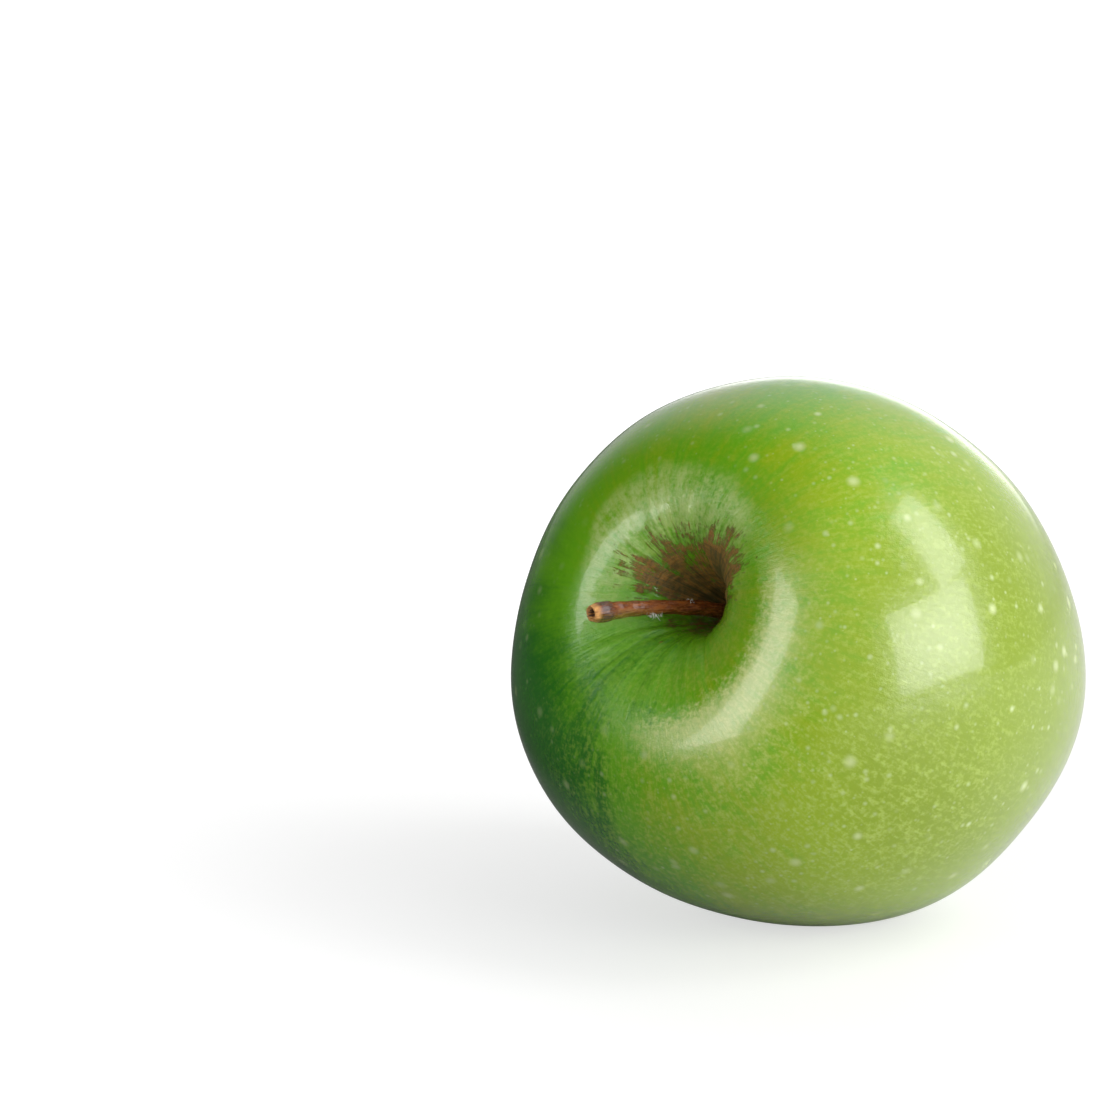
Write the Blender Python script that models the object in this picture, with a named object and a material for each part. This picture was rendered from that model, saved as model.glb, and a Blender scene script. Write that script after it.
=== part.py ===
"""A fresh green apple, as picked, lying on its side with its stem end raised.

Metres, +Z up. The origin is the middle of the small flat spot on the flank that the
apple rests on. The core runs in the YZ plane: the stem end faces -Y and is raised by
STEM_END_RISE, the eye, where the flower was, faces +Y and down.

Every piece is modelled upright about its own core, the stem end up, with heights
counted along the core from the belt, the fruit's widest ring. One empty, core, then
lays them all down together.
"""

import math

import bmesh
import bpy
from mathutils import Matrix, Vector
from mathutils.geometry import interpolate_bezier

# How the apple lies
STEM_END_RISE = 23.3            # degrees that the stem end of the core is raised
SPOT_DEPTH = 0.0009             # how deep the resting spot cuts into the round flank
SPOT_EASE = 0.0009              # height over which the spot blends into the flank

# The fruit
BELT_RADIUS = 0.0396            # its widest ring, 79 mm across
SHOULDER_RADIUS = 0.0165        # the high ring round the stem cavity
SHOULDER_HEIGHT = 0.0305
THROAT_RADIUS = 0.0052          # where the cavity's wall is steepest
THROAT_HEIGHT = 0.0238
SOCKET_RADIUS = 0.0019          # where the stem comes out
SOCKET_HEIGHT = 0.0136
CAVITY_FLOOR = 0.0126
CAVITY_LEAN = 0.0022            # how far the cavity's floor is off the core, to +Y
CROWN_RADIUS = 0.0135           # the low ring round the eye
CROWN_HEIGHT = -0.0370
BASIN_RADIUS = 0.0050           # the wall of the basin inside the crown
BASIN_HEIGHT = -0.0302
EYE_RADIUS = 0.0023             # the rim of the pit at the middle of the basin
EYE_HEIGHT = -0.0282
EYE_FLOOR = -0.0256
FRUIT_SIDES = 60

# The fruit is not round: waves per turn, height of the wave as a part of the radius,
# and the angle of its first crest in degrees
SWELLS = ((2, 0.0138, 6.1), (3, 0.0136, -22.3), (4, 0.0065, 42.6), (5, 0.0027, -0.9))
RIBS = 5                        # one per chamber of the core, strongest near the eye
RIB_DEPTH = 0.028               # as a part of the radius, at the crown
RIB_ANGLE = 8.6

# The stem
GAP = 0.0004                    # kept between touching pieces
STEM_TIP = Vector((-0.0064, -0.0043, 0.0374))
STEM_PULLS = (Vector((-0.0003, -0.0002, 0.0080)), Vector((-0.0023, -0.0033, 0.0080)))
STEM_RADII = ((0.00, 1.25), (0.12, 1.12), (0.50, 1.17), (0.78, 1.20), (0.91, 1.42),
              (0.96, 1.38), (1.00, 1.15))      # place along it, radius in millimetres
STEM_STATIONS = 16
STEM_SIDES = 12
TORN_DEPTH = 0.0009             # the hollow in its torn end
TORN_RIM = 0.0004

# What is left of the flower, in the eye
SEPALS = 5
SEPAL_WIDTH = 0.0031
SEPAL_THICKNESS = 0.0004
SEPAL_ROOT = 0.0034             # how far its root is from the core
SEPAL_ROOT_HEIGHT = -0.0297
SEPAL_RISE = 0.0056             # how far its tip stands out along the core
SEPAL_LEAN = 0.0012             # how far it leans in before its tip curls out
SEPAL_CURL = 0.0014
STAMENS = 10
STAMEN_RING = 0.00125
STAMEN_RADIUS = 0.00018
STAMEN_LENGTH = 0.0046
STAMEN_ROOT_HEIGHT = -0.0273
STYLE_RADIUS = 0.00042
STYLE_LENGTH = 0.0042

SKIN = (0.30, 0.45, 0.06)
BARK = (0.23, 0.09, 0.03)
DRY_LEAF = (0.16, 0.12, 0.07)
DRY_THREAD = (0.10, 0.07, 0.04)


def clear_scene():
    for old in list(bpy.data.objects):
        bpy.data.objects.remove(old, do_unlink=True)


def material(name, colour, roughness):
    finish = bpy.data.materials.new(name)
    finish.use_nodes = True
    shader = finish.node_tree.nodes["Principled BSDF"]
    shader.inputs["Base Color"].default_value = (*colour, 1.0)
    shader.inputs["Roughness"].default_value = roughness
    shader.inputs["Metallic"].default_value = 0.0
    return finish


def piece(name, bm, finish, core):
    """One named object from a bmesh, shaded smooth and carried by the core."""
    mesh = bpy.data.meshes.new(name)
    bm.to_mesh(mesh)
    bm.free()
    mesh.shade_smooth()
    mesh.materials.append(finish)
    made = bpy.data.objects.new(name, mesh)
    bpy.context.collection.objects.link(made)
    made.parent = core
    return made


def smooth_step(t):
    t = min(1.0, max(0.0, t))
    return t * t * (3.0 - 2.0 * t)


def fruit_outline():
    """Half the fruit's outline, from the cavity's floor over the flank to the eye.

    A knot is a radius, a height, the outline's heading there in degrees from outward,
    how strongly it holds that heading, and the number of steps from the knot before.
    """
    knots = (
        (0.0, CAVITY_FLOOR, 0.0, 1.0, 0),
        (SOCKET_RADIUS, SOCKET_HEIGHT, 72.0, 1.0, 2),
        (THROAT_RADIUS, THROAT_HEIGHT, 64.0, 1.0, 4),
        (SHOULDER_RADIUS, SHOULDER_HEIGHT, 0.0, 1.0, 7),
        (BELT_RADIUS, 0.0, -90.0, 1.24, 11),
        (CROWN_RADIUS, CROWN_HEIGHT, -180.0, 1.15, 12),
        (BASIN_RADIUS, BASIN_HEIGHT, -220.0, 1.0, 4),
        (EYE_RADIUS, EYE_HEIGHT, -255.0, 1.0, 2),
        (0.0, EYE_FLOOR, -180.0, 1.0, 2),
    )
    points = [Vector((0.0, 0.0, CAVITY_FLOOR))]
    for start, end in zip(knots, knots[1:]):
        a = Vector((start[0], 0.0, start[1]))
        b = Vector((end[0], 0.0, end[1]))
        reach = (b - a).length / 3.0
        handles = []
        for _, _, heading, hold, _ in (start, end):
            turn = math.radians(heading)
            handles.append(Vector((math.cos(turn), 0.0, math.sin(turn))) * reach * hold)
        points += interpolate_bezier(a, a + handles[0], b - handles[1], b, end[4] + 1)[1:]
    return points


def swell(angle, height):
    """How much further out than a round fruit the skin is, as a factor."""
    waves = sum(part * math.cos(count * (angle - math.radians(crest)))
                for count, part, crest in SWELLS)
    near_eye = smooth_step(height / CROWN_HEIGHT) ** 2
    ribs = RIB_DEPTH * near_eye * math.cos(RIBS * (angle - math.radians(RIB_ANGLE)))
    return 1.0 + waves + ribs


def resting_axes():
    """Up, and the way from the stem end to the eye along the ground, in the core's frame."""
    rise = math.radians(STEM_END_RISE)
    up = Vector((0.0, math.cos(rise), math.sin(rise)))
    along = Vector((0.0, math.sin(rise), -math.cos(rise)))
    return up, along


def press_resting_spot(bm):
    """Flatten the flank where the apple rests, and return the middle of that spot."""
    up, along = resting_axes()
    ground = min(vert.co.dot(up) for vert in bm.verts) + SPOT_DEPTH
    for vert in bm.verts:
        above = vert.co.dot(up) - ground
        if above >= SPOT_EASE:
            continue
        t = max(0.0, above / SPOT_EASE)
        vert.co += up * (SPOT_EASE * (2.0 * t * t - t ** 3) - above)
    flat = [vert.co for vert in bm.verts if vert.co.dot(up) - ground < 1e-6]
    across = [co.x for co in flat]
    length = [co.dot(along) for co in flat]
    return (Vector(((min(across) + max(across)) / 2, 0.0, 0.0))
            + along * (min(length) + max(length)) / 2
            + up * ground)


def fruit_shape():
    """The whole fruit, and the middle of its resting spot."""
    bm = bmesh.new()
    points = fruit_outline()
    verts = [bm.verts.new(point) for point in points]
    edges = [bm.edges.new(pair) for pair in zip(verts, verts[1:])]
    bmesh.ops.spin(bm, geom=verts + edges, cent=(0, 0, 0), axis=(0, 0, 1), dvec=(0, 0, 0),
                   angle=math.tau, steps=FRUIT_SIDES, use_merge=True, use_duplicate=False)
    bmesh.ops.remove_doubles(bm, verts=bm.verts, dist=1e-6)
    for vert in bm.verts:
        radius = math.hypot(vert.co.x, vert.co.y)
        factor = swell(math.atan2(vert.co.y, vert.co.x), vert.co.z)
        in_cavity = vert.co.z > 0 and radius < SHOULDER_RADIUS
        lean = CAVITY_LEAN * smooth_step(1.0 - radius / SHOULDER_RADIUS) if in_cavity else 0.0
        vert.co.x *= factor
        vert.co.y = vert.co.y * factor + lean
    spot = press_resting_spot(bm)
    bmesh.ops.recalc_face_normals(bm, faces=bm.faces)
    return bm, spot


def limb(path, radii, sides):
    """A closed round limb: a disc at the path's start, extruded from point to point."""
    bm = bmesh.new()
    heading = (path[1] - path[0]).normalized()
    place = Matrix.Translation(path[0]) @ heading.to_track_quat("Z", "Y").to_matrix().to_4x4()
    bmesh.ops.create_circle(bm, cap_ends=True, segments=sides, radius=radii[0], matrix=place)
    top = list(bm.faces)
    for step in range(1, len(path)):
        after = path[min(step + 1, len(path) - 1)] - path[step - 1]
        after.normalize()
        turn = heading.rotation_difference(after).to_matrix().to_4x4()
        grow = Matrix.Scale(radii[step] / radii[step - 1], 4)
        move = (Matrix.Translation(path[step]) @ turn @ grow
                @ Matrix.Translation(-path[step - 1]))
        new = bmesh.ops.extrude_face_region(bm, geom=top, use_keep_orig=step == 1)
        if step > 1:
            bmesh.ops.delete(bm, geom=[f for f in top if f.is_valid], context="FACES_ONLY")
        top = [item for item in new["geom"] if isinstance(item, bmesh.types.BMFace)]
        rim = [item for item in new["geom"] if isinstance(item, bmesh.types.BMVert)]
        bmesh.ops.transform(bm, matrix=move, verts=rim)
        heading = after
    bmesh.ops.recalc_face_normals(bm, faces=bm.faces)
    return bm, top


def stem_radius(place):
    """The stem's radius at a place along it, eased between the stated ones."""
    for (a, thin), (b, thick) in zip(STEM_RADII, STEM_RADII[1:]):
        if place <= b:
            return 0.001 * (thin + (thick - thin) * smooth_step((place - a) / (b - a)))
    return 0.001 * STEM_RADII[-1][1]


def stem_shape():
    """A woody stem that bends as it leaves the cavity, with a hollow torn end."""
    root = Vector((0.0, CAVITY_LEAN, CAVITY_FLOOR + GAP))
    path = interpolate_bezier(root, root + STEM_PULLS[0], STEM_TIP - STEM_PULLS[1],
                              STEM_TIP, STEM_STATIONS)
    radii = [stem_radius(step / (STEM_STATIONS - 1)) for step in range(STEM_STATIONS)]
    bm, top = limb(path, radii, STEM_SIDES)
    bmesh.ops.inset_region(bm, faces=top, thickness=TORN_RIM, use_even_offset=True)
    heading = (path[-1] - path[-2]).normalized()
    bmesh.ops.translate(bm, vec=-heading * TORN_DEPTH, verts=list(top[0].verts))
    return bm


def sepal_shape():
    """One dried sepal: a pointed blade that leans over the eye and curls out at its tip."""
    bm = bmesh.new()
    bmesh.ops.create_grid(bm, x_segments=4, y_segments=9, size=0.5)
    for vert in bm.verts:
        t = vert.co.y + 0.5
        half = 0.5 * SEPAL_WIDTH * (1.0 - t) ** 0.85 + 0.0002
        side = 2.0 * vert.co.x
        cup = 0.12 * half * side * side
        lean = SEPAL_LEAN * math.sin(math.pi * min(1.0, 1.25 * t))
        curl = SEPAL_CURL * smooth_step((t - 0.55) / 0.45)
        vert.co = Vector((SEPAL_ROOT - lean + curl - cup, half * side,
                          SEPAL_ROOT_HEIGHT - SEPAL_RISE * math.sin(1.35 * t) / math.sin(1.35)))
    return bm


def make_sepals(finish, core):
    for number in range(SEPALS):
        sepal = piece(f"sepal_{number + 1}", sepal_shape(), finish, core)
        sepal.rotation_euler.z = math.tau * (number + 0.5) / SEPALS + math.radians(RIB_ANGLE)
        wall = sepal.modifiers.new("thickness", "SOLIDIFY")
        wall.thickness = SEPAL_THICKNESS
        wall.offset = 0.0


def make_stamens(finish, core):
    """Withered threads in a ring inside the sepals, each bent its own way."""
    for number in range(STAMENS):
        turn = math.tau * number / STAMENS
        out = Vector((math.cos(turn), math.sin(turn), 0.0))
        side = Vector((-math.sin(turn), math.cos(turn), 0.0))
        length = STAMEN_LENGTH * (0.82 + 0.18 * math.sin(2.4 * number))
        root = out * STAMEN_RING + Vector((0.0, 0.0, STAMEN_ROOT_HEIGHT))
        bend = side * 0.0003 * math.sin(1.7 * number)
        lean = out * 0.00022 * math.cos(2.9 * number)
        tip = root + bend + lean + Vector((0.0, 0.0, -length))
        pull = Vector((0.0, 0.0, -length / 3.0))
        path = interpolate_bezier(root, root + pull - bend, tip - pull, tip, 6)
        radii = [STAMEN_RADIUS] * 5 + [STAMEN_RADIUS * 1.3]
        bm, _ = limb(path, radii, 6)
        piece(f"stamen_{number + 1:02d}", bm, finish, core)


def styles_shape():
    """The withered styles, grown together as one small column."""
    foot = Vector((0.0, 0.0, EYE_FLOOR - GAP))
    path = [foot + Vector((0.0, 0.0, -STYLE_LENGTH * step / 5.0)) for step in range(6)]
    radii = [STYLE_RADIUS * width for width in (1.25, 1.0, 0.9, 0.9, 1.05, 0.7)]
    return limb(path, radii, 10)[0]


def main():
    clear_scene()
    core = bpy.data.objects.new("core", None)
    bpy.context.collection.objects.link(core)
    skin = material("apple_skin", SKIN, 0.32)
    bark = material("stem_bark", BARK, 0.6)
    dry_leaf = material("dried_sepal", DRY_LEAF, 0.85)
    dry_thread = material("dried_thread", DRY_THREAD, 0.9)
    bm, spot = fruit_shape()
    piece("fruit", bm, skin, core)
    piece("stem", stem_shape(), bark, core)
    make_sepals(dry_leaf, core)
    make_stamens(dry_thread, core)
    piece("styles", styles_shape(), dry_thread, core)
    lie_down = Matrix.Rotation(math.radians(90.0 - STEM_END_RISE), 4, "X")
    core.matrix_world = lie_down @ Matrix.Translation(-spot)


main()
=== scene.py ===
# %% [markdown]
# # A green apple, lying on its side
#
# An apple is a good first organic model, because one smooth skin carries all of the look:
# a turned shape that is not quite round, a deep cavity round the stem, a small dried eye at
# the other end, and a waxy surface whose green changes from side to side. This lesson
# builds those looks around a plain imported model, which fixes the size and the place of
# every piece.

# %% Load the fixed frame
import math
import random

import bmesh
import bpy
from mathutils import Matrix, Vector, noise
from mathutils.geometry import interpolate_bezier


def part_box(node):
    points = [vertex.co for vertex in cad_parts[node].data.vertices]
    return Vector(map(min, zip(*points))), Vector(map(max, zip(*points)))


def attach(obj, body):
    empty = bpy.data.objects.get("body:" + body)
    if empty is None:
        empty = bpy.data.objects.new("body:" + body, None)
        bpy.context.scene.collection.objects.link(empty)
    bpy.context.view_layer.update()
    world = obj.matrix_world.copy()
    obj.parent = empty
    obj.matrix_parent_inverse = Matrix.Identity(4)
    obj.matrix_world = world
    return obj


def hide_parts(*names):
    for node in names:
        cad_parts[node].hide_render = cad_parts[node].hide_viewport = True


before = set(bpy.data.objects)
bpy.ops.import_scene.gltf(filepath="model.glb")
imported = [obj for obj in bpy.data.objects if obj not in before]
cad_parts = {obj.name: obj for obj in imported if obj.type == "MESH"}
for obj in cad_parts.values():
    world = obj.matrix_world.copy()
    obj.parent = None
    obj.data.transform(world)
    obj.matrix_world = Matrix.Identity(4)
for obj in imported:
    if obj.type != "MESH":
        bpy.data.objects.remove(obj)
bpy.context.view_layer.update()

print("nodes in the frame:", len(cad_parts))

# %% [markdown]
# The apple lies with its core in the YZ plane, stem end towards -Y and raised. Everything
# is easier to think about on an upright apple, so each new piece is modelled upright about
# the core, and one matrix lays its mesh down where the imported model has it. The middle of
# the fruit's widest ring is found from the styles, the small column that stands on the core
# in the eye.

# %% The core's own frame
STEM_END_RISE = math.radians(23.3)
STYLES_HEIGHT = -0.0281         # the styles' middle, counted from the belt along the core
MM = 0.001

lie_down = Matrix.Rotation(math.pi / 2 - STEM_END_RISE, 4, "X")
styles_low, styles_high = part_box("styles")
belt = (styles_low + styles_high) / 2 - lie_down @ Vector((0, 0, STYLES_HEIGHT))
from_core = Matrix.Translation(belt) @ lie_down
to_core = from_core.inverted()
print("belt centre, mm:", [round(c * 1000, 2) for c in belt])

# %% [markdown]
# The camera stands 0.6 m away, a little above the apple and to the right of its stem end.
# It looks past the apple's left, so the apple sits right of the middle, as one of a group
# would. A long lens keeps the shape natural at that distance.

# %% Camera
CAMERA_TURN = math.radians(40.5)        # round the apple, from the stem end's side
CAMERA_RISE = math.radians(12.0)
CAMERA_DISTANCE = 0.600
CAMERA_LENS = 138.4                     # mm
SENSOR_WIDTH = 36.0                     # mm
AIM_LEFT = 0.0338                       # how far beside the belt's centre it aims
AIM_ABOVE = 0.0144

back = Vector((math.sin(CAMERA_TURN) * math.cos(CAMERA_RISE),
               -math.cos(CAMERA_TURN) * math.cos(CAMERA_RISE),
               math.sin(CAMERA_RISE)))
right = Vector((math.cos(CAMERA_TURN), math.sin(CAMERA_TURN), 0))
up = back.cross(right)

camera = bpy.data.objects.new("camera", bpy.data.cameras.new("camera"))
bpy.context.collection.objects.link(camera)
camera.data.lens = CAMERA_LENS
camera.data.sensor_width = SENSOR_WIDTH
camera.data.clip_start = 0.01
camera.location = belt - right * AIM_LEFT + up * AIM_ABOVE + back * CAMERA_DISTANCE
camera.rotation_euler = back.to_track_quat("Z", "Y").to_euler()
bpy.context.scene.camera = camera
bpy.context.scene.view_settings.view_transform = "Standard"
print("camera at", [round(c, 3) for c in camera.location])

# %% [markdown]
# Materials are nodes, and nodes are easiest to read as sums. A small class wraps a socket,
# so that 1 - mask or radius * 0.5 adds the Math nodes for it. One more class holds a
# material while it is wired and adds any other node by its type, its settings and the
# values or links of its sockets. Colours are mixed by Mix nodes, since a Math node would
# turn them grey.

# %% Shader maths
class Value:
    """A number that varies over a surface. Sums with it add Math nodes."""

    def __init__(self, finish, socket):
        self.finish = finish
        self.socket = socket

    def math(self, operation, *others):
        made = self.finish.node("ShaderNodeMath", {"operation": operation},
                                {i: v for i, v in enumerate(others)})
        return Value(self.finish, made.outputs[0])

    def __add__(self, other):
        return self.math("ADD", self, other)

    def __sub__(self, other):
        return self.math("SUBTRACT", self, other)

    def __rsub__(self, other):
        return self.math("SUBTRACT", other, self)

    def __mul__(self, other):
        return self.math("MULTIPLY", self, other)

    def __truediv__(self, other):
        return self.math("DIVIDE", self, other)

    def __pow__(self, other):
        return self.math("POWER", self, other)

    __radd__ = __add__
    __rmul__ = __mul__

    def above(self, low, high):
        """0 below low, 1 above high, and a smooth step between; low may be the larger."""
        made = self.finish.node("ShaderNodeMapRange", {"interpolation_type": "SMOOTHSTEP"},
                                {"Value": self, "From Min": low, "From Max": high})
        return Value(self.finish, made.outputs["Result"])

    def capped(self):
        made = self.finish.node("ShaderNodeMath", {"operation": "ADD", "use_clamp": True},
                                {0: self, 1: 0.0})
        return Value(self.finish, made.outputs[0])


class Finish:
    """A material while its nodes are wired, around one Principled shader."""

    def __init__(self, name):
        self.material = bpy.data.materials.new(name)
        self.material.use_nodes = True
        self.tree = self.material.node_tree
        self.shader = self.tree.nodes["Principled BSDF"]

    def node(self, kind, settings=None, sockets=None):
        made = self.tree.nodes.new(kind)
        for name, value in (settings or {}).items():
            setattr(made, name, value)
        for name, value in (sockets or {}).items():
            self.feed(made.inputs[name], value)
        return made

    def feed(self, socket, value):
        value = getattr(value, "socket", value)
        if isinstance(value, bpy.types.NodeSocket):
            self.tree.links.new(value, socket)
        elif socket.type == "RGBA" and len(value) == 3:
            socket.default_value = (*value, 1.0)
        else:
            socket.default_value = value

    def set(self, **sockets):
        """Sets or links the shader's own sockets; Base_Color is Base Color."""
        for name, value in sockets.items():
            self.feed(self.shader.inputs[name.replace("_", " ")], value)

    def value(self, socket):
        return Value(self, socket)

    def parts(self, vector):
        made = self.node("ShaderNodeSeparateXYZ", None, {0: vector})
        return [self.value(made.outputs[i]) for i in range(3)]

    def vector(self, x, y, z):
        return self.node("ShaderNodeCombineXYZ", None, {0: x, 1: y, 2: z}).outputs[0]

    def noise(self, vector, scale, detail=3.0, roughness=0.55, warp=0.0):
        made = self.node("ShaderNodeTexNoise", None,
                         {"Vector": vector, "Scale": scale, "Detail": detail,
                          "Roughness": roughness, "Distortion": warp})
        return self.value(made.outputs["Fac"])

    def mix(self, factor, a, b, blend="MIX"):
        made = self.node("ShaderNodeMix", {"data_type": "RGBA", "blend_type": blend})
        self.feed(made.inputs["Factor"], factor)
        self.feed(made.inputs[6], a)
        self.feed(made.inputs[7], b)
        return made.outputs[2]

    def ramp(self, value, low, high, dim, bright):
        """A straight ramp from dim at low to bright at high, level beyond them."""
        made = self.node("ShaderNodeMapRange", None,
                         {"Value": value, "From Min": low, "From Max": high,
                          "To Min": dim, "To Max": bright})
        return self.value(made.outputs["Result"])

    def bump(self, height, distance):
        made = self.node("ShaderNodeBump", None, {"Height": height, "Distance": distance,
                                                  "Strength": 1.0})
        return made.outputs["Normal"]

    def lie(self):
        """A bent or curled piece's own coordinates, kept from before it was bent."""
        return self.node("ShaderNodeAttribute", {"attribute_name": "lie"}).outputs["Vector"]

    def upright_mm(self):
        """The place on the surface in the core's frame, in millimetres."""
        place = self.node("ShaderNodeTexCoord")
        turned = self.node("ShaderNodeMapping", {"vector_type": "TEXTURE"},
                           {"Vector": place.outputs["Object"], "Location": belt,
                            "Rotation": lie_down.to_euler(), "Scale": (MM, MM, MM)})
        return turned.outputs["Vector"]


print("shader helpers are ready")

# %% [markdown]
# The floor plays two parts. To the camera it glows, more with distance, which keeps it an
# even white round a soft shadow. To the apple it is a pale card on the right, which lights
# the cheek from below, and a dark card on the left, which keeps that side deep. A Light
# Path node tells the two apart.

# %% Floor
FLOOR_RADIUS = 6.0
FLOOR_COLOUR = (0.42, 0.42, 0.42)
GLOW_NEAR, GLOW_FAR = 0.05, 0.40        # m from the apple, between which the glow rises
NEAR_GLOW, FAR_GLOW = 0.62, 1.05
CARD_LEFT, CARD_RIGHT = -0.07, 0.06     # m to the right, between which the card turns pale
DARK_CARD, PALE_CARD = 0.06, 0.95

floor_shape = bmesh.new()
bmesh.ops.create_circle(floor_shape, cap_ends=True, segments=96, radius=FLOOR_RADIUS)
floor_mesh = bpy.data.meshes.new("floor")
floor_shape.to_mesh(floor_mesh)
floor_shape.free()

paint = Finish("floor_paint")
spot = paint.node("ShaderNodeTexCoord").outputs["Object"]
to_camera = paint.value(paint.node("ShaderNodeLightPath").outputs["Is Camera Ray"])
away = paint.node("ShaderNodeVectorMath", {"operation": "LENGTH"}, {0: spot})
sideways = paint.node("ShaderNodeVectorMath", {"operation": "DOT_PRODUCT"}, {0: spot, 1: right})
glow = paint.ramp(away.outputs["Value"], GLOW_NEAR, GLOW_FAR, NEAR_GLOW, FAR_GLOW)
card = paint.ramp(sideways.outputs["Value"], CARD_LEFT, CARD_RIGHT, DARK_CARD, PALE_CARD)
paint.set(Base_Color=paint.mix(to_camera, card, FLOOR_COLOUR), Roughness=0.7)
paint.set(Emission_Color=glow * to_camera, Emission_Strength=1.0)
floor_mesh.materials.append(paint.material)
floor = bpy.data.objects.new("floor", floor_mesh)
bpy.context.collection.objects.link(floor)
print("floor radius, m:", FLOOR_RADIUS)

# %% [markdown]
# A studio for fruit is simple: a pale floor, white surroundings and one softbox to the
# right, whose reflection is the bright patch on the cheek. Here the softbox is a broad box
# low down with a narrow one above it, so the patch is narrow at the top and broad below. A
# third box, weaker, stands at the front left and lights the shoulder of the cavity. A fill
# behind the left side softens the dark of the hidden flank and leaves no reflection.

# %% Softboxes
def softbox(name, aim, distance, width, height, radiance):
    """A rectangle of even light that faces the apple; radiance is its own brightness."""
    light = bpy.data.lights.new(name, "AREA")
    light.shape = "RECTANGLE"
    light.size = width
    light.size_y = height
    light.energy = radiance * math.pi * width * height
    lamp = bpy.data.objects.new(name, light)
    lamp.location = belt + aim.normalized() * distance
    lamp.rotation_euler = aim.to_track_quat("Z", "Y").to_euler()
    bpy.context.collection.objects.link(lamp)
    return lamp


softbox("key", right * 0.80 + up * 0.16 + back * 0.58, 0.85, 0.72, 0.46, 5.8)
softbox("key_top", right * 0.70 + up * 0.66 + back * 0.30, 0.85, 0.26, 0.42, 5.5)
softbox("shoulder", -right * 0.80 + up * 0.16 + back * 0.58, 0.90, 0.34, 0.56, 4.5)
fill = softbox("fill", -right * 0.50 + up * 0.10 - back * 0.85, 0.90, 0.60, 0.60, 2.6)
fill.visible_glossy = False
fill.visible_camera = False

# %% [markdown]
# The surroundings are a sum of soft glows, each towards one side. They are bright behind
# the apple, which gives its far edge a pale rim with a thin brighter line at the very edge.
# They are weaker on the camera's side, and dark to the left, so that the green stays deep
# there. The camera itself sees plain white.

# %% Surroundings
FAR_SIDE = -back * 0.66 + right * 0.55 + up * 0.45
NEAR_SIDE = back * 0.90 + right * 0.25
RIM_SIDE = -back * 0.97 + right * 0.19 + up * 0.16

world = bpy.data.worlds.new("surroundings")
bpy.context.scene.world = world
world.use_nodes = True
sky = world.node_tree
direction = sky.nodes.new("ShaderNodeTexCoord").outputs["Generated"]


def glow_towards(aim, low, high, dim, bright):
    """Brightness of the surroundings that rises smoothly from dim to bright towards aim."""
    facing = sky.nodes.new("ShaderNodeVectorMath")
    facing.operation = "DOT_PRODUCT"
    facing.inputs[1].default_value = aim.normalized()
    level = sky.nodes.new("ShaderNodeMapRange")
    level.interpolation_type = "SMOOTHSTEP"
    for socket, amount in (("From Min", low), ("From Max", high),
                           ("To Min", dim), ("To Max", bright)):
        level.inputs[socket].default_value = amount
    sky.links.new(direction, facing.inputs[0])
    sky.links.new(facing.outputs["Value"], level.inputs["Value"])
    return level.outputs["Result"]


glows = glow_towards(FAR_SIDE, 0.15, 0.85, 0.03, 0.72)
for one in (glow_towards(NEAR_SIDE, -0.10, 0.90, 0.0, 0.60),
            glow_towards(RIM_SIDE, 0.950, 0.985, 0.0, 1.6)):
    both = sky.nodes.new("ShaderNodeMath")
    sky.links.new(glows, both.inputs[0])
    sky.links.new(one, both.inputs[1])
    glows = both.outputs[0]
seen = sky.nodes.new("ShaderNodeLightPath")
pick = sky.nodes.new("ShaderNodeMix")
pick.inputs["B"].default_value = 1.0
sky.links.new(seen.outputs["Is Camera Ray"], pick.inputs["Factor"])
sky.links.new(glows, pick.inputs["A"])
sky.links.new(pick.outputs["Result"], sky.nodes["Background"].inputs["Strength"])
sky.nodes["Background"].inputs["Color"].default_value = (1, 1, 1, 1)
print("world nodes:", len(sky.nodes))

# %% [markdown]
# The skin is one material made of layers, and each layer asks where on the apple it is.
# So the first cell turns the plain position into the apple's own map: how far from the
# core, which way from it, and how far down the side from the stem, counted along the skin.
#
# Polar patterns need a direction and not an angle, because an angle jumps where the turn
# closes. The direction from the core, a unit circle, feeds a noise together with the way
# down the side. Scaled up round the turn and down along it, its grain becomes streaks that
# all run towards the stem and grow finer there, as the skin's real cells do.

# %% A map of the skin
CAVITY_LEAN = 2.2               # mm that the cavity's floor is off the core
SHOULDER_RADIUS = 16.5          # mm, the high ring round the cavity
SIDE_LENGTH = 36.0              # mm along the skin for each radian down from the stem

skin = Finish("apple_skin")
place = skin.upright_mm()
x, y, height = skin.parts(place)
radius = (x * x + y * y) ** 0.5
lean = radius.above(SHOULDER_RADIUS, 0.0) * height.above(0.0, 5.0) * CAVITY_LEAN
y_leant = y - lean
reach = (x * x + y_leant * y_leant) ** 0.5 + 0.01
way_x = x / reach
way_y = y_leant / reach
down = skin.node("ShaderNodeMath", {"operation": "ARCTAN2"}, {0: reach, 1: height})
down = skin.value(down.outputs[0]) * SIDE_LENGTH
stem_end = height.above(8.0, 14.0)


def towards(degrees):
    """1 on the side of the core at this angle from +X, -1 on the far side."""
    turn = math.radians(degrees)
    return way_x * math.cos(turn) + way_y * math.sin(turn)


def streaks(around, along, detail=4.0, roughness=0.6):
    """A noise drawn out down the side: cells per radian round it, and per mm down it."""
    grain = skin.vector(way_x * around, way_y * around, down * along)
    return skin.noise(grain, 1.0, detail, roughness)


long_streaks = streaks(20.0, 0.10)
short_streaks = streaks(58.0, 0.42, 4.0, 0.7)
blotches = skin.noise(place, 0.055, 3.0, 0.5)
clusters = skin.noise(place, 0.28, 4.0, 0.6)
mottle = skin.noise(place, 1.35, 5.0, 0.70)
print("skin map nodes:", len(skin.tree.nodes))

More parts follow.
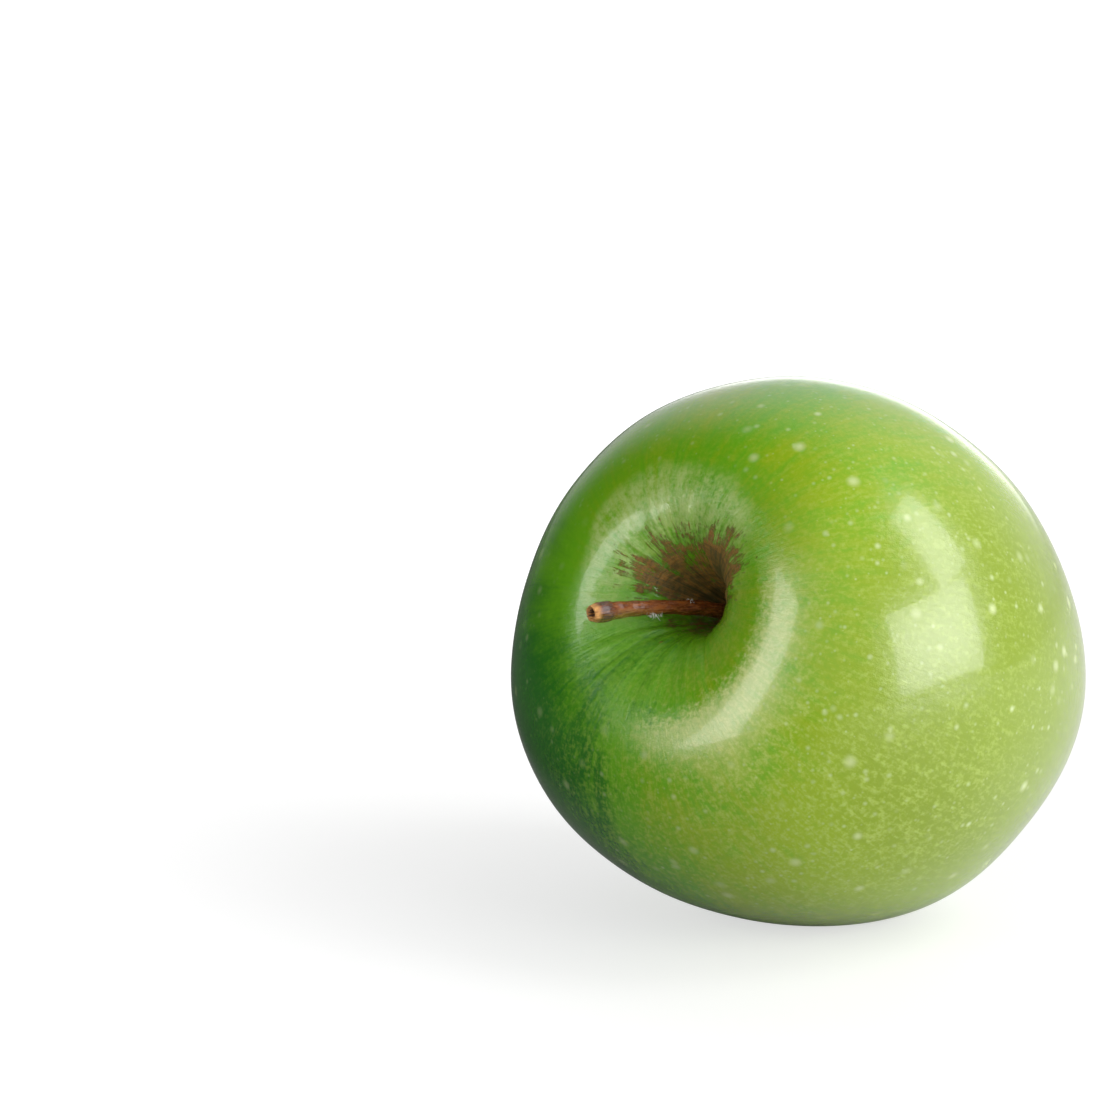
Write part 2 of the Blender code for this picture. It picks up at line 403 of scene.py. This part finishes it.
# %% [markdown]
# The ground colour turns from deep green on the left to a warm yellow-green on the sunny side.
# The deep green is partly the shaded side's own colour and partly painted shade. On the left
# the colour is painted darker low down near the stem's end and lighter at the top, as painted
# shade and light, and it turns a plain mid green towards the eye. The bottom is painted
# lighter, as light thrown up from the floor. Blotches and streaks shift it, so that the
# change has no straight edge. Pale flecks, a millimetre long, lie over all of it and are
# thickest low on the sunny side, where they are partly a painted sheen reflected from the floor.
#
# Here and below, a pair of numbers in above() is in millimetres where it measures a place,
# and between 0 and 1 where it measures a noise.

# %% Ground colour
DEEP_GREEN_AND_SHADE = (0.019, 0.162, 0.009)
MID_GREEN = (0.125, 0.380, 0.005)
SUNNY_GREEN = (0.265, 0.394, 0.002)
CHEEK_PAINTED_SHADE = (0.175, 0.250, 0.002)
PALE_FLECK = (0.42, 0.54, 0.10)
SUN_AND_SHADE_RISE = 0.021                # for each mm towards the sunny side, +X

# The rise from left to right is partly pigment and partly painted shade. The lighter bottom is
# painted light from the floor, and on the left the darker bottom and lighter top are painted shade
# and light.
sun_and_painted_light = x * SUN_AND_SHADE_RISE + y.above(-15.0, -38.0) * 0.20
sun_and_painted_light = sun_and_painted_light + x.above(10.0, -17.0) * (y.above(-32.0, 14.0) * 0.84 - 0.35)
sun_and_painted_light = sun_and_painted_light + (blotches - 0.5) * 0.9 + (long_streaks - 0.5) * (x.above(-30.0, 5.0) * 0.5 + 0.3)
sun_and_painted_light = sun_and_painted_light + (clusters - 0.5) * x.above(-30.0, 5.0) * 0.5
sun_and_painted_light = sun_and_painted_light + x.above(0.0, -15.0) * height.above(8.0, -12.0) * 0.50
sun_and_painted_light = sun_and_painted_light + (mottle - 0.5) * (x.above(-30.0, 5.0) * 0.65 + 0.1)
colour = skin.mix(sun_and_painted_light.above(-0.52, 0.02), DEEP_GREEN_AND_SHADE, MID_GREEN)
colour = skin.mix(sun_and_painted_light.above(-0.05, 0.62), colour, SUNNY_GREEN)
# Painted shade: the far right edge is darkened where the key light falls strongest.
colour = skin.mix(x.above(20.0, 38.0) * 0.75, colour, CHEEK_PAINTED_SHADE)

# The flecks gather low down and on the right, where they are partly a painted sheen of light
# reflected from the floor. They fade on the dark left, which keeps its painted shade.
fleck_and_sheen_spread = (y.above(0.0, -30.0) * 0.5 + x.above(5.0, 30.0) * 0.3) * height.above(-20.0, 10.0)
sunlit = x.above(-26.0, 8.0) * 0.90 + 0.10
flecks = (short_streaks * 0.55 + mottle * 0.90 - 0.225).above(0.43, 0.72)
colour = skin.mix(flecks * (fleck_and_sheen_spread * 0.95 + 0.15).capped() * sunlit, colour, PALE_FLECK)
print("ground colour is set")

# %% [markdown]
# Round the cavity lies a pale bloom, partly the loose waxy cells of scarf skin and partly a
# painted highlight of light on the shoulder. It is a broad fibrous ring on the upper wall,
# which ends well inside the shoulder on the left, and a soft crescent on the shoulder's lower
# right. Each is a band of reach times a side.

# %% Pale bloom and painted highlight round the cavity
BLOOM_AND_HIGHLIGHT = (0.48, 0.62, 0.20)
CRESCENT_AND_HIGHLIGHT = (0.58, 0.66, 0.20)

upper_side = towards(112.0).above(-0.15, 0.75)
upper_edge = 15.0 + towards(104.0).above(0.2, 1.0) * 5.2 + (blotches - 0.5) * 7.0
ring = reach.above(6.5, 11.0) * (upper_edge - reach).above(-0.8, 2.2) * stem_end
fibres = (streaks(17.0, 0.20, 5.0, 0.72) * 0.6 + clusters * 0.5 + (mottle - 0.5) * 0.6
          - 0.05).above(0.28, 0.70)
bloom_and_highlight = ring * fibres * (upper_side * 0.88 + 0.12)
# The ring is partly scarf skin and partly a painted highlight on the upper wall.
colour = skin.mix(bloom_and_highlight * 0.80, colour, BLOOM_AND_HIGHLIGHT)

lower_right = towards(-33.0).above(0.40, 0.80)
band = (reach + (mottle - 0.5) * 8.0).above(15.0, 18.5) * stem_end
outer_edge = (25.6 + towards(-48.0).above(0.7, 1.0) * 2.2
              - towards(-95.0).above(0.6, 1.0) * 5.0 - towards(-5.0).above(0.7, 1.0) * 3.5
              + (clusters - 0.5) * 8.0 + (mottle - 0.5) * 5.0)
crescent_and_highlight = band * (outer_edge - reach).above(-4.0, 6.5) * lower_right * (flecks * 0.35 + 0.65)
# The crescent is partly scarf skin and partly a painted highlight on the shoulder.
colour = skin.mix(crescent_and_highlight * 0.95, colour, CRESCENT_AND_HIGHLIGHT)
print("bloom is set")

# %% [markdown]
# At the other end, the basin round the eye keeps a little grey down from the flower.

# %% Down round the eye
DOWN = (0.36, 0.42, 0.22)
down_patch = height.above(-22.0, -29.0) * (reach + (clusters - 0.5) * 8.0).above(8.5, 3.0)
downy = (short_streaks + mottle - 0.5).above(0.30, 0.65)
colour = skin.mix(down_patch * downy * 0.7, colour, DOWN)
print("down is set")

# %% [markdown]
# Lenticels are the pores that the skin breathes through: pale soft dots of uneven size,
# far apart on the broad flank and nearly absent round the stem. A Voronoi texture scatters
# them, and each cell's random colour draws the lot for its dot's size.

# %% Lenticels
LENTICEL = (0.58, 0.66, 0.32)


def lenticels(ground, spacing, size, strength, where):
    """Dots on the ground colour; returns the new colour and the dots' mask."""
    cells = skin.node("ShaderNodeTexVoronoi", {"feature": "F1"},
                      {"Vector": place, "Scale": 1.0 / spacing, "Randomness": 1.0})
    lot = skin.parts(cells.outputs["Color"])[0]
    distance = skin.value(cells.outputs["Distance"]) * spacing
    spread = (distance / (lot * size + size * 0.3)) + (mottle - 0.5) * 0.5
    dots = spread.above(1.05, 0.0) * where * strength
    return skin.mix(dots, ground, LENTICEL), dots


open_skin = (reach.above(15.0, 26.0) * (x.above(-25.0, 15.0) * 0.65 + 0.35)
             + height.above(5.0, -10.0) * 0.4).capped()
colour, big_pores = lenticels(colour, 4.3, 1.05, 0.80, open_skin)
colour, small_pores = lenticels(colour, 2.4, 0.50, 0.55, open_skin)
colour, _ = lenticels(colour, 1.3, 0.30, 0.35, open_skin)
pores = (big_pores + small_pores).capped()
print("lenticels are set")

# %% [markdown]
# Russet is cork that grows where the young skin cracked round the stem. It runs far up the
# cavity's upper wall in ragged rays, hardly at all up the lower one, and leaves islands of
# green. Its edge is a bright orange brown, its middle a dull dark brown, and the low grooves
# of its wrinkles are painted darker as painted shade.

# %% Russet
RUSSET = (0.088, 0.054, 0.014)
RUSSET_EDGE = (0.38, 0.165, 0.032)
WRINKLE_SHADE = (0.060, 0.034, 0.012)

rays = streaks(9.0, 0.10, 6.0, 0.8)
islands = skin.noise(place, 0.50, 6.0, 0.75)
spread = (4.2 + towards(80.0).above(-0.35, 0.55) * 4.6
          + towards(50.0).above(0.80, 1.0) * 4.0 + towards(168.0).above(0.88, 1.0) * 3.0
          + (rays - 0.5) * 17.0 + (short_streaks - 0.5) * 6.0 - reach)
inner = spread + (islands - 0.5) * 17.0 + (short_streaks - 0.5) * 8.0
russet = inner.above(0.0, 2.2) * stem_end
wrinkles = skin.noise(skin.vector(way_x * 2.2, way_y * 2.2, reach * 2.4), 1.0, 3.0, 0.6, 0.5)
cork = skin.mix((inner + (mottle - 0.5) * 6.0 + (rays - 0.5) * 6.0).above(1.5, 7.5),
                RUSSET_EDGE, RUSSET)
# Painted shade: the wrinkles' low grooves are darkened.
cork = skin.mix(wrinkles.above(0.56, 0.40) * 0.5, cork, WRINKLE_SHADE)
colour = skin.mix(russet * 0.94, colour, cork)
print("russet is set")

# %% [markdown]
# Wax makes the green skin glossy, while the cork is dull. The relief is tiny: the mottling
# stands out by hundredths of a millimetre, which is enough to break up the edge of each
# highlight. On the cork, fine wrinkles run round the stem.

# %% Gloss and relief
skin.set(Base_Color=colour)
skin.set(Roughness=(mottle * 0.12 + 0.085 + pores * 0.12 + russet * 0.45).capped())
skin.set(Coat_Weight=(1.0 - russet) * 0.50)
relief = (mottle * 0.55 + short_streaks * 0.35 + (long_streaks + fibres * 0.3)
          * reach.above(20.0, 9.0) * 0.9 - pores * 0.25 + russet * wrinkles * 2.2)
skin.set(Normal=skin.bump(relief, 0.11 * MM))
skin.shader.inputs["Coat Roughness"].default_value = 0.08
skin.shader.inputs["IOR"].default_value = 1.54
skin.shader.inputs["Subsurface Weight"].default_value = 0.10
skin.shader.inputs["Subsurface Radius"].default_value = (0.6, 1.0, 0.25)
skin.shader.inputs["Subsurface Scale"].default_value = 2.0 * MM
apple_skin = skin.material
print("skin nodes:", len(skin.tree.nodes))

# %% [markdown]
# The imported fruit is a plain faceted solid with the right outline, ribs and resting spot.
# Its triangles are joined back into the quads that they were, two levels of subdivision
# make them smooth, and then every point is moved a little by noise: long low dents on the
# flank, which make the highlights uneven as on a real fruit, and narrow pleats that run up
# the cavity's wall.

# %% Fruit
def piece(name, mesh, finish, slot, *stands_for):
    """A finished mesh as a named piece that rides on the apple."""
    mesh.materials.clear()
    mesh.materials.append(finish)
    made = bpy.data.objects.new(name, mesh)
    bpy.context.collection.objects.link(made)
    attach(made, "root")
    if stands_for:
        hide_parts(*stands_for)
    print(name, len(mesh.polygons), "faces")
    return made


def smooth_step(t):
    t = min(1.0, max(0.0, t))
    return t * t * (3.0 - 2.0 * t)


def subdivided(bm, levels):
    """A new mesh from a bmesh, smoothed by Subdivision Surface and made final."""
    cage = bpy.data.meshes.new("cage")
    bm.to_mesh(cage)
    bm.free()
    holder = bpy.data.objects.new("cage", cage)
    bpy.context.collection.objects.link(holder)
    smooth = holder.modifiers.new("smooth", "SUBSURF")
    smooth.levels = levels
    smooth.render_levels = levels
    bpy.context.view_layer.update()
    ready = holder.evaluated_get(bpy.context.evaluated_depsgraph_get())
    mesh = bpy.data.meshes.new_from_object(ready)
    bpy.data.objects.remove(holder)
    mesh.shade_smooth()
    return mesh


DENT_SCALE = 70.0               # dents for each metre of the noise
DENT_DEPTH = 0.22 * MM
REST_HEIGHT = 1.5 * MM          # the skin this close to the floor stays as it is
WALL_RADIUS = 16 * MM           # the cavity's wall lies within this
PLEATS_ROUND = 4.5
PLEAT_DEPTH = 0.30 * MM


def fruit_mesh():
    bm = bmesh.new()
    bm.from_mesh(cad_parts["fruit"].data)
    bmesh.ops.remove_doubles(bm, verts=bm.verts, dist=1e-6)
    bmesh.ops.join_triangles(bm, faces=bm.faces, angle_face_threshold=math.pi,
                             angle_shape_threshold=math.pi)
    print("quads:", sum(len(f.verts) == 4 for f in bm.faces), "of", len(bm.faces))
    mesh = subdivided(bm, 2)
    normals = [vert.normal.copy() for vert in mesh.vertices]
    for vert, normal in zip(mesh.vertices, normals):
        spot = to_core @ vert.co
        radius = math.hypot(spot.x, spot.y)
        way = Vector((spot.x, spot.y, 0)) / max(radius, 1e-6)
        dents = noise.noise(spot * DENT_SCALE) * DENT_DEPTH
        dents *= smooth_step((vert.co.z - REST_HEIGHT) / (6 * MM))
        on_wall = smooth_step((WALL_RADIUS - radius) / (6 * MM)) if spot.z > 10 * MM else 0.0
        on_wall *= smooth_step((radius - 2.0 * MM) / (2 * MM))
        pleats = noise.fractal(way * PLEATS_ROUND + Vector((0, 0, spot.z * 30)), 1.0, 2.0, 3)
        vert.co += normal * (dents + on_wall * pleats * PLEAT_DEPTH)
    return mesh


piece("apple_fruit", fruit_mesh(), apple_skin, "apple_skin", "fruit")

# %% [markdown]
# The stem and the threads in the eye are all round limbs that bend. Each starts as an
# upright rod, one unit long and one in radius, cut into rings. A path then carries the
# rings: at each place along it the rod turns with the path, so it never twists. The rod's
# own coordinates are stored as an attribute first, because bark and dried threads are
# patterned along the limb and not across the world.

# %% Rods that bend
def rod(sides, rings):
    """An upright closed rod, 1 long and 1 in radius."""
    bm = bmesh.new()
    bmesh.ops.create_cone(bm, cap_ends=True, segments=sides, radius1=1, radius2=1, depth=1,
                          matrix=Matrix.Translation((0, 0, 0.5)))
    uprights = [e for e in bm.edges if abs(e.verts[0].co.z - e.verts[1].co.z) > 0.5]
    bmesh.ops.subdivide_edges(bm, edges=uprights, cuts=rings - 1, use_grid_fill=True)
    return bm


def bend(bm, path, width):
    """Lays an upright rod along a path; width(place) is its radius at a rod coordinate."""
    lie = bm.verts.layers.float_vector.new("lie")
    length = sum((b - a).length for a, b in zip(path, path[1:]))
    headings = [(b - a).normalized() for a, b in zip(path, path[1:])]
    headings.append(headings[-1])
    turns = [Vector((0, 0, 1)).rotation_difference(headings[0])]
    for before, after in zip(headings, headings[1:]):
        turns.append(before.rotation_difference(after) @ turns[-1])
    for vert in bm.verts:
        place = vert.co.copy()
        vert[lie] = place
        along = min(max(place.z, 0.0), 1.0) * (len(path) - 1)
        step = min(int(along), len(path) - 2)
        turn = turns[step].slerp(turns[step + 1], along - step)
        centre = path[step].lerp(path[step + 1], along - step)
        beyond = (place.z - min(max(place.z, 0.0), 1.0)) * length
        across = Vector((place.x, place.y, 0)) * width(place)
        vert.co = centre + turn @ (across + Vector((0, 0, beyond)))
    return bm


def eased(places, t):
    """The value at t on a list of (t, value), eased between its points."""
    for (a, low), (b, high) in zip(places, places[1:]):
        if t <= b:
            return low + (high - low) * smooth_step((t - a) / (b - a))
    return places[-1][1]


def gather(whole, one):
    """Adds one bmesh to another, and frees it."""
    part = bpy.data.meshes.new("part")
    one.to_mesh(part)
    one.free()
    whole.from_mesh(part)


trial = rod(12, 4)
print("a rod of 12 sides and 4 rings has", len(trial.verts), "points")
trial.free()

# %% [markdown]
# The stem is a woody twig 26 mm long. It leaves the cavity's floor, bends to the side and
# ends in a swollen collar, where it tore from the spur on the tree. The torn end is a
# hollow with a jagged rim. Two insets make the hollow while the rod is still straight. The
# bark has ridges along it and small knobs, made by noise in the rod's own coordinates.

# %% Stem shape
STEM_FOOT = Vector((0.0, 2.2, 13.0)) * MM
STEM_TIP = Vector((-6.4, -4.3, 37.4)) * MM
STEM_PULLS = (Vector((-0.3, -0.2, 8.0)) * MM, Vector((-2.3, -3.3, 8.0)) * MM)
STEM_RADII = ((0.00, 1.50), (0.05, 1.20), (0.12, 1.05), (0.50, 1.03), (0.76, 1.06),
              (0.85, 1.20), (0.91, 1.42), (0.95, 1.34), (1.00, 1.10))     # mm
STEM_PATH = interpolate_bezier(STEM_FOOT, STEM_FOOT + STEM_PULLS[0], STEM_TIP - STEM_PULLS[1],
                               STEM_TIP, 40)


def stem_width(place):
    lengthwise = Vector((place.x * 1.3, place.y * 1.3, place.z * 7.0))
    knobs = noise.noise(lengthwise * 2.2 + Vector((4.0, 1.0, 0.0)))
    ridges = noise.noise(Vector((place.x * 4.0, place.y * 4.0, place.z * 9.0)))
    rings = noise.noise(Vector((place.x, place.y, place.z * 60.0)))
    uneven = 1.0 + noise.noise(lengthwise) * 0.15 + knobs * 0.12 + ridges * 0.07 + rings * 0.04
    return eased(STEM_RADII, place.z) * MM * uneven


def torn_end(bm):
    """Sinks a ragged hollow into the top of an upright rod."""
    top = [max(bm.faces, key=lambda f: f.calc_center_median().z)]
    rim = list(top[0].verts)
    bmesh.ops.inset_region(bm, faces=top, thickness=0.24)
    lip = list(top[0].verts)
    bmesh.ops.inset_region(bm, faces=top, thickness=0.22, depth=-0.022)
    bmesh.ops.inset_region(bm, faces=top, thickness=0.22, depth=-0.022)
    floor_verts = bmesh.ops.poke(bm, faces=top)["verts"]
    for vert in rim + lip:
        turn = math.atan2(vert.co.y, vert.co.x)
        tear = noise.fractal(Vector((math.cos(turn), math.sin(turn), 0.3)) * 2.8, 0.8, 2.0, 3)
        vert.co.z += tear * 0.095 + (0.006 if vert in lip else -0.006)
    for vert in floor_verts:
        vert.co.z -= 0.01


def stem_mesh():
    bm = rod(32, 110)
    torn_end(bm)
    bend(bm, STEM_PATH, stem_width)
    bm.transform(from_core)
    return subdivided(bm, 1)


print("stem tip, mm:", [round(c * 1000, 1) for c in from_core @ STEM_TIP])

# %% [markdown]
# Bark colour runs along the stem: almost black where it leaves the cavity, which is painted
# shade down in the cavity, red-brown along the shaft, ochre on the underside near the collar,
# dark purple on the collar itself. The tear shows pale orange wood round a dark centre, which
# is painted shade in its hollow. Cracks and pale scurf come from noise that is drawn out along
# the limb.

# %% Bark
bark = Finish("stem_bark")
lie_x, lie_y, along = bark.parts(bark.lie())
from_middle = (lie_x * lie_x + lie_y * lie_y) ** 0.5

grain = bark.noise(bark.vector(lie_x * 2.6, lie_y * 2.6, along * 14.0), 1.0, 5.0, 0.65)
cracks = bark.noise(bark.vector(lie_x * 7.0, lie_y * 7.0, along * 9.0), 1.0, 4.0, 0.7)
scurf = bark.noise(bark.vector(lie_x * 5.0, lie_y * 5.0, along * 60.0), 1.0, 4.0, 0.7)
across_rings = bark.noise(bark.vector(lie_x * 0.8, lie_y * 0.8, along * 75.0), 1.0, 3.0, 0.6)

wood = bark.mix(grain.above(0.32, 0.68), (0.120, 0.024, 0.005), (0.36, 0.100, 0.015))
ochre = along.above(0.55, 0.86) * (lie_y * -1.0 + (grain - 0.5) * 2.0).above(-0.35, 0.65)
wood = bark.mix(ochre * 0.85, wood, (0.235, 0.150, 0.018))
wood = bark.mix(cracks.above(0.56, 0.70) * 0.75, wood, (0.035, 0.012, 0.006))
wood = bark.mix(scurf.above(0.62, 0.76) * 0.40, wood, (0.50, 0.28, 0.13))
# Painted shade: the stem's foot, down in the cavity, is darkened nearly to black.
wood = bark.mix(along.above(0.30, 0.04) * 0.80, wood, (0.020, 0.008, 0.006))
collar = along.above(0.865, 0.90) * along.above(0.975, 0.94)
collar = collar * (grain + cracks - 0.5).above(0.30, 0.62)
wood = bark.mix(collar * 0.90, wood, (0.040, 0.016, 0.020))
torn = (along.above(0.955, 0.985) + from_middle.above(0.93, 0.84)).capped()
tan = bark.mix((grain + scurf * 0.6 - 0.3).above(0.25, 0.60), (0.32, 0.115, 0.022),
               (0.72, 0.37, 0.12))
wood = bark.mix(torn, wood, tan)
# Painted shade: the floor of the torn end's hollow is darkened.
hollow_shade = (from_middle + (cracks - 0.5) * 0.9 + (lie_x * lie_x) * 0.5).above(0.54, 0.34)
wood = bark.mix(hollow_shade * 0.92, wood, (0.022, 0.009, 0.005))
bark.set(Base_Color=wood)
bark.set(Roughness=(grain * 0.25 + 0.14 + torn * 0.35).capped())
bark.set(Coat_Weight=(1.0 - torn) * 0.35)
bark.set(Normal=bark.bump(cracks * 0.9 + scurf * 0.5 + across_rings * 0.5, 0.16 * MM))
bark.shader.inputs["IOR"].default_value = 1.5

piece("twisted_stem", stem_mesh(), bark.material, "stem_bark", "stem")

# %% [markdown]
# A few wisps of white down cling to the stem. Each wisp is a dozen hairs, and each hair is
# a very thin rod bent in a curl, with a fixed random seed so that every run is the same.

# %% White down on the stem
DOWN_WISPS = ((0.60, -1.0, 0.6), (0.42, 1.0, 0.5), (0.63, -0.9, 0.9))   # place, side, mm
HAIRS = 12
HAIR_RADIUS = 0.045 * MM


def down_mesh():
    chance = random.Random(7)
    whole = bmesh.new()
    for place, side, length in DOWN_WISPS:
        centre = STEM_PATH[round(place * (len(STEM_PATH) - 1))]
        for _ in range(HAIRS):
            out = Vector((0.5 + chance.uniform(-0.9, 0.9), side, chance.uniform(-0.4, 0.4)))
            out.normalize()
            seat = centre + out * (eased(STEM_RADII, place) - 0.05) * MM
            seat.z += chance.uniform(-0.35, 0.35) * MM
            reach = length * MM * chance.uniform(0.5, 1.1)
            curl = Vector([chance.uniform(-0.7, 0.7) for _ in range(3)]) * reach
            hair = interpolate_bezier(seat, seat + out * reach * 0.5, seat + out * reach + curl,
                                      seat + out * reach * 0.6 + curl * 1.3, 8)
            gather(whole, bend(rod(5, 8), hair, lambda spot: HAIR_RADIUS * (1.15 - spot.z)))
    whole.transform(from_core)
    bmesh.ops.recalc_face_normals(whole, faces=whole.faces)
    mesh = bpy.data.meshes.new("stem_down")
    whole.to_mesh(mesh)
    whole.free()
    mesh.shade_smooth()
    return mesh


white = Finish("white_down")
tone = white.noise(white.lie(), 6.0)
white.set(Base_Color=white.mix(tone, (0.60, 0.58, 0.50), (0.90, 0.89, 0.84)))
white.shader.inputs["Roughness"].default_value = 0.9
piece("stem_down", down_mesh(), white.material, "dried_thread")

# %% [markdown]
# In the eye at the other end the flower's remains are dry: five curled sepals round ten
# threads, with the styles in the middle. A sepal starts as a flat grid. Its points are
# moved to a narrow leaf shape with a ragged edge and a midrib, then leant over the eye and
# curled back at the tip. Solidify gives the sheet its thickness.

# %% Sepal shape
SEPALS = 5
SEPAL_WIDTH = 3.3 * MM
SEPAL_THICKNESS = 0.22 * MM
SEPAL_ROOT = Vector((3.4, 0.0, -29.5)) * MM
SEPAL_RISE = 5.7 * MM           # how far its tip stands out along the core
SEPAL_LEAN = 1.2 * MM
SEPAL_CURL = 1.9 * MM
RIB_ANGLE = math.radians(8.6)


def sepal_mesh(number):
    bm = bmesh.new()
    lie = bm.verts.layers.float_vector.new("lie")
    bmesh.ops.create_grid(bm, x_segments=12, y_segments=26, size=0.5)
    lot = Vector((number * 3.7, number * 1.9, 0.0))
    for vert in bm.verts:
        side = vert.co.x * 2.0
        t = vert.co.y + 0.5
        vert[lie] = (side, t, number)
        ragged = noise.noise(Vector((t * 9.0, math.copysign(2.0, side), 0)) + lot)
        half = 0.5 * SEPAL_WIDTH * (1.0 - t) ** 0.8 * (1.0 + ragged * 0.30 * abs(side)) + 0.12 * MM
        rib = 0.22 * MM * math.exp(-(side * 3.0) ** 2) * (1.0 - t)
        warp = noise.noise(Vector((side * 1.4, t * 3.0, 0)) + lot) * 0.55 * MM * t
        cup = 0.28 * half * side * side
        lean = SEPAL_LEAN * math.sin(math.pi * min(1.0, 1.25 * t))
        curl = SEPAL_CURL * (0.7 + 0.3 * math.sin(number * 2.1)) * smooth_step((t - 0.5) / 0.5)
        rise = SEPAL_RISE * (1.0 - 0.10 * (1.0 + math.cos(number * 1.7)) / 2)
        vert.co = SEPAL_ROOT + Vector((curl - lean - cup + rib + warp,
                                       half * side + warp * 0.6,
                                       -rise * math.sin(1.45 * t) / math.sin(1.45)))
    bmesh.ops.solidify(bm, geom=list(bm.faces), thickness=SEPAL_THICKNESS)
    bmesh.ops.recalc_face_normals(bm, faces=bm.faces)
    turn = math.tau * (number - 0.5) / SEPALS + RIB_ANGLE
    bm.transform(from_core @ Matrix.Rotation(turn, 4, "Z"))
    return subdivided(bm, 1)


print("sepal root, mm from the belt:", [round(c * 1000, 1) for c in SEPAL_ROOT])

# %% [markdown]
# A dried sepal is grey-brown and downy, darker and browner towards its tip and edges, with
# veins that run lengthwise. The threads are darker still.

# %% Dried finishes and the sepals
dry = Finish("dried_sepal")
side, t, lot = dry.parts(dry.lie())
vein = dry.noise(dry.vector(side * 5.0, t * 1.6, lot * 3.0), 1.0, 4.0, 0.65)
down_hairs = dry.noise(dry.vector(side * 16.0, t * 22.0, lot), 1.0, 3.0, 0.7)
leaf = dry.mix(vein.above(0.35, 0.65), (0.105, 0.070, 0.036), (0.27, 0.215, 0.13))
leaf = dry.mix(down_hairs.above(0.52, 0.72) * 0.55, leaf, (0.44, 0.39, 0.29))
edge = (side * side).above(0.55, 1.0)
leaf = dry.mix((t.above(0.60, 0.98) + edge * 0.5).capped() * 0.85, leaf, (0.045, 0.024, 0.012))
dry.set(Base_Color=leaf)
dry.set(Roughness=(vein * 0.2 + 0.70).capped())
dry.set(Normal=dry.bump(vein * 1.2 + down_hairs * 0.8, 0.10 * MM))

for number in range(1, SEPALS + 1):
    piece(f"curled_sepal_{number}", sepal_mesh(number), dry.material, "dried_sepal",
          f"sepal_{number}")

# %% Dried thread finish
thread = Finish("dried_thread")
lie_x, lie_y, along = thread.parts(thread.lie())
twist = thread.noise(thread.vector(lie_x * 1.5, lie_y * 1.5, along * 16.0), 1.0, 4.0, 0.65)
strand = thread.mix(twist.above(0.35, 0.66), (0.040, 0.022, 0.011), (0.17, 0.110, 0.055))
strand = thread.mix(along.above(0.84, 0.92) * 0.7, strand, (0.24, 0.165, 0.080))
thread.set(Base_Color=strand)
thread.set(Roughness=(twist * 0.2 + 0.72).capped())
thread.set(Normal=thread.bump(twist, 0.10 * MM))

# %% [markdown]
# Ten withered stamens stand in a ring, each a thread with the shrunken anther at its tip,
# and each bent its own way. The styles are five finer threads that have grown together at
# the foot and part at the top, so their rods share one mesh.

# %% Stamens and styles
STAMENS = 10
STAMEN_RING = 1.25 * MM
STAMEN_LENGTH = 4.6 * MM
STAMEN_ROOT_HEIGHT = -27.3 * MM
STAMEN_RADII = ((0.00, 0.20), (0.30, 0.15), (0.82, 0.13), (0.90, 0.29), (0.96, 0.27),
                (1.00, 0.10))           # mm
STYLES = 5
STYLE_RADII = ((0, 0.26), (0.7, 0.19), (0.94, 0.24), (1, 0.12))     # mm
STYLES_FOOT = -26.0 * MM
STYLES_LENGTH = 4.2 * MM


def stamen_mesh(number):
    turn = math.tau * (number - 1) / STAMENS
    out = Vector((math.cos(turn), math.sin(turn), 0.0))
    side = Vector((-math.sin(turn), math.cos(turn), 0.0))
    length = STAMEN_LENGTH * (0.82 + 0.18 * math.sin(2.4 * (number - 1)))
    root = out * STAMEN_RING + Vector((0.0, 0.0, STAMEN_ROOT_HEIGHT))
    bow = side * 0.3 * MM * math.sin(1.7 * (number - 1))
    tip = root + bow + out * 0.22 * MM * math.cos(2.9 * (number - 1)) + Vector((0, 0, -length))
    pull = Vector((0.0, 0.0, -length / 3.0))
    path = interpolate_bezier(root, root + pull - bow, tip - pull, tip, 14)

    def width(place):
        uneven = noise.noise(Vector((place.x, place.y, place.z * 9.0 + number * 5.0)))
        return eased(STAMEN_RADII, place.z) * MM * (1.0 + uneven * 0.35)

    bm = bend(rod(10, 30), path, width)
    bm.transform(from_core)
    bmesh.ops.recalc_face_normals(bm, faces=bm.faces)
    return subdivided(bm, 1)


def styles_mesh():
    whole = bmesh.new()
    for number in range(STYLES):
        turn = math.tau * number / STYLES + RIB_ANGLE
        out = Vector((math.cos(turn), math.sin(turn), 0.0))
        foot = Vector((0, 0, STYLES_FOOT)) + out * 0.20 * MM
        length = STYLES_LENGTH * (0.92 + 0.04 * (number % 3))
        tip = foot + out * 0.22 * MM + Vector((0, 0, -length))
        middle = foot.lerp(tip, 0.5) - out * 0.14 * MM
        path = interpolate_bezier(foot, middle, middle, tip, 12)
        gather(whole, bend(rod(10, 24), path,
                           lambda place: eased(STYLE_RADII, place.z) * MM))
    whole.transform(from_core)
    bmesh.ops.recalc_face_normals(whole, faces=whole.faces)
    return subdivided(whole, 1)


for number in range(1, STAMENS + 1):
    piece(f"withered_stamen_{number:02d}", stamen_mesh(number), thread.material,
          "dried_thread", f"stamen_{number:02d}")
piece("withered_styles", styles_mesh(), thread.material, "dried_thread", "styles")
